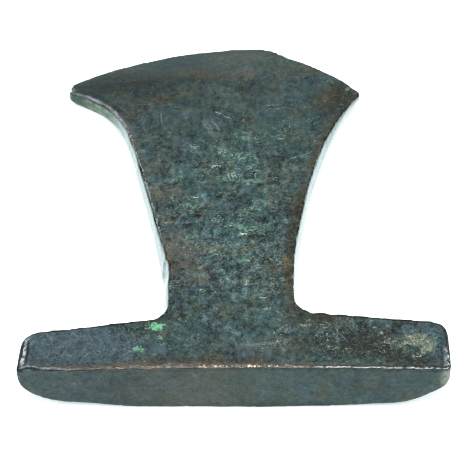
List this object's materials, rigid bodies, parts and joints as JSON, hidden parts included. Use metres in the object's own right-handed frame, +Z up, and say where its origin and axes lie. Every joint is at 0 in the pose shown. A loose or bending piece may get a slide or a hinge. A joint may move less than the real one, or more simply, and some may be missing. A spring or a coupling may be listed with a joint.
{
  "type": "axe head",
  "caption": "Cast bronze axe head of the T shape, with a flared, arced blade on a short neck and lugs at the butt for lashing it to a haft.",
  "frame": {"origin": "middle of the underside, at the centre of the part's box", "axes": "+X along the lugs, to the right seen from the butt with the flat top up; +Y from the butt to the cutting edge; +Z up from the underside"},
  "size_m": [0.12, 0.138, 0.0194],
  "materials": {
    "bronze": "dark grey-green to brown patina, worn bare along the arrises, with green corrosion spots"
  },
  "bodies": {
    "root": {"axe_head": "bronze"}
  },
  "joints": []
}
